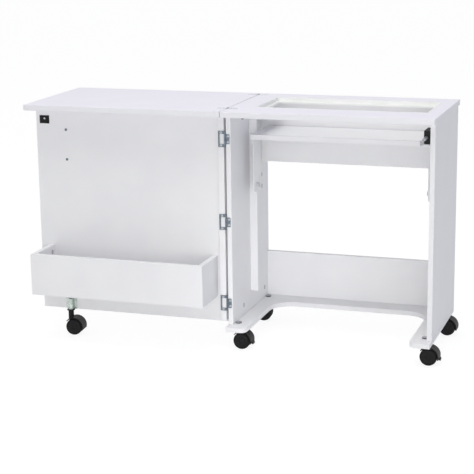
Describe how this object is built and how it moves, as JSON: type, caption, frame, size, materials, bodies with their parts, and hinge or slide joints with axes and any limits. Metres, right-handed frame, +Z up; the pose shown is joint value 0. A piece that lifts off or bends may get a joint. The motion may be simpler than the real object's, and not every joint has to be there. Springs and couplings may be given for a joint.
{
  "type": "sewing table",
  "caption": "Folding sewing cabinet on casters: machine cut-out with lift platform, fold-over leaf, and a full-height door with a storage tray, shown open.",
  "frame": {"origin": "middle of the footprint on the floor, with the door and the leaf open", "axes": "+X along the length to the sitter's right, +Y to the back, +Z up"},
  "size_m": [1.3294, 0.5092, 0.7651],
  "materials": {
    "white_board": "white melamine-faced particle board, satin",
    "white_top": "white laminate-faced board, satin, faintly cool",
    "cream_trim": "warm white moulded frame, matte",
    "painted_steel": "white powder coat",
    "hinge_steel": "nickel-plated steel, satin",
    "galvanised_steel": "zinc-plated steel, dull",
    "black_plastic": "black moulded nylon",
    "grey_plastic": "grey moulded plastic",
    "black_rubber": "soft black rubber"
  },
  "bodies": {
    "cabinet": {"base_panel": "white_board", "left_side_panel": "white_board", "right_side_panel": "white_board", "upper_back_rail": "white_board", "lower_back_rail": "white_board", "left_lift_post": "white_board", "right_lift_post": "white_board", "main_top": "white_top", "opening_trim": "cream_trim", "latch_body": "black_plastic", "door_stop_bumper": "black_rubber", "wall_bumper_left_lower": "black_rubber", "wall_bumper_left_upper": "black_rubber", "wall_bumper_right_lower": "black_rubber", "wall_bumper_right_upper": "black_rubber", "leaf_hinge_front_main": "hinge_steel", "leaf_hinge_rear_main": "hinge_steel", "door_hinge_lower_inner": "hinge_steel", "door_hinge_middle_inner": "hinge_steel", "door_hinge_upper_inner": "hinge_steel", "door_hinge_lower_pin": "hinge_steel", "door_hinge_middle_pin": "hinge_steel", "door_hinge_upper_pin": "hinge_steel"},
    "leaf": {"leaf_panel": "white_top", "leaf_hinge_front_leaf": "hinge_steel", "leaf_hinge_rear_leaf": "hinge_steel"},
    "door": {"door_panel": "white_board", "door_stile": "white_board", "tray_front": "white_board", "tray_left_end": "white_board", "tray_right_end": "white_board", "tray_floor": "white_board", "strike_plate": "black_plastic", "door_handle": "hinge_steel", "caster_bracket": "galvanised_steel", "door_hinge_lower_outer": "hinge_steel", "door_hinge_middle_outer": "hinge_steel", "door_hinge_upper_outer": "hinge_steel"},
    "machine_lift": {"machine_platform": "white_board", "lift_plate_left": "painted_steel", "lift_plate_right": "painted_steel", "lift_knob_left": "grey_plastic", "lift_knob_right": "grey_plastic"},
    "latch_button": {"latch_plunger": "grey_plastic"},
    "caster_front_left": {"caster_frame_front_left": "black_plastic"},
    "wheel_front_left_a": {"caster_wheel_front_left_a": "black_plastic"},
    "wheel_front_left_b": {"caster_wheel_front_left_b": "black_plastic"},
    "caster_front_right": {"caster_frame_front_right": "black_plastic"},
    "wheel_front_right_a": {"caster_wheel_front_right_a": "black_plastic"},
    "wheel_front_right_b": {"caster_wheel_front_right_b": "black_plastic"},
    "caster_rear_left": {"caster_frame_rear_left": "black_plastic"},
    "wheel_rear_left_a": {"caster_wheel_rear_left_a": "black_plastic"},
    "wheel_rear_left_b": {"caster_wheel_rear_left_b": "black_plastic"},
    "caster_rear_right": {"caster_frame_rear_right": "black_plastic"},
    "wheel_rear_right_a": {"caster_wheel_rear_right_a": "black_plastic"},
    "wheel_rear_right_b": {"caster_wheel_rear_right_b": "black_plastic"},
    "caster_door": {"caster_frame_door": "black_plastic"},
    "wheel_door_a": {"caster_wheel_door_a": "black_plastic"},
    "wheel_door_b": {"caster_wheel_door_b": "black_plastic"}
  },
  "joints": [
    {"name": "door_swing", "type": "hinge", "parent": "cabinet", "child": "door", "pos_m": [-0.00825, -0.13375, 0.4115], "axis": [0, 0, 1], "range_deg": [0, 180]},
    {"name": "leaf_fold", "type": "hinge", "parent": "cabinet", "child": "leaf", "pos_m": [-0.00975, 0.03725, 0.7625], "axis": [0, 1, 0], "range_deg": [0, 180]},
    {"name": "platform_lift", "type": "slide", "parent": "cabinet", "child": "machine_lift", "axis": [0, 0, 1], "range_m": [-0.23, 0.07]},
    {"name": "latch_push", "type": "slide", "parent": "cabinet", "child": "latch_button", "axis": [0, 1, 0], "range_m": [0, 0.012], "stiffness_N_per_m": 300, "springref_m": -0.004},
    {"name": "swivel_front_left", "type": "hinge", "parent": "cabinet", "child": "caster_front_left", "pos_m": [0.02025, -0.10675, 0.066], "axis": [0, 0, 1], "continuous": true},
    {"name": "spin_front_left_a", "type": "hinge", "parent": "caster_front_left", "child": "wheel_front_left_a", "pos_m": [0.03375, -0.11935, 0.027], "axis": [0, 1, 0], "continuous": true},
    {"name": "spin_front_left_b", "type": "hinge", "parent": "caster_front_left", "child": "wheel_front_left_b", "pos_m": [0.03375, -0.09415, 0.027], "axis": [0, 1, 0], "continuous": true},
    {"name": "swivel_front_right", "type": "hinge", "parent": "cabinet", "child": "caster_front_right", "pos_m": [0.61525, -0.10675, 0.066], "axis": [0, 0, 1], "continuous": true},
    {"name": "spin_front_right_a", "type": "hinge", "parent": "caster_front_right", "child": "wheel_front_right_a", "pos_m": [0.62875, -0.11935, 0.027], "axis": [0, 1, 0], "continuous": true},
    {"name": "spin_front_right_b", "type": "hinge", "parent": "caster_front_right", "child": "wheel_front_right_b", "pos_m": [0.62875, -0.09415, 0.027], "axis": [0, 1, 0], "continuous": true},
    {"name": "swivel_rear_left", "type": "hinge", "parent": "cabinet", "child": "caster_rear_left", "pos_m": [0.02025, 0.21125, 0.066], "axis": [0, 0, 1], "continuous": true},
    {"name": "spin_rear_left_a", "type": "hinge", "parent": "caster_rear_left", "child": "wheel_rear_left_a", "pos_m": [0.0057, 0.22262, 0.027], "axis": [0.0872, -0.9962, 0], "continuous": true},
    {"name": "spin_rear_left_b", "type": "hinge", "parent": "caster_rear_left", "child": "wheel_rear_left_b", "pos_m": [0.0079, 0.19752, 0.027], "axis": [0.0872, -0.9962, 0], "continuous": true},
    {"name": "swivel_rear_right", "type": "hinge", "parent": "cabinet", "child": "caster_rear_right", "pos_m": [0.61525, 0.21125, 0.066], "axis": [0, 0, 1], "continuous": true},
    {"name": "spin_rear_right_a", "type": "hinge", "parent": "caster_rear_right", "child": "wheel_rear_right_a", "pos_m": [0.62875, 0.19865, 0.027], "axis": [0, 1, 0], "continuous": true},
    {"name": "spin_rear_right_b", "type": "hinge", "parent": "caster_rear_right", "child": "wheel_rear_right_b", "pos_m": [0.62875, 0.22385, 0.027], "axis": [0, 1, 0], "continuous": true},
    {"name": "swivel_door", "type": "hinge", "parent": "door", "child": "caster_door", "pos_m": [-0.55675, -0.11455, 0.066], "axis": [0, 0, 1], "continuous": true},
    {"name": "spin_door_a", "type": "hinge", "parent": "caster_door", "child": "wheel_door_a", "pos_m": [-0.5422, -0.12593, 0.027], "axis": [-0.0872, 0.9962, 0], "continuous": true},
    {"name": "spin_door_b", "type": "hinge", "parent": "caster_door", "child": "wheel_door_b", "pos_m": [-0.5444, -0.10082, 0.027], "axis": [-0.0872, 0.9962, 0], "continuous": true}
  ]
}
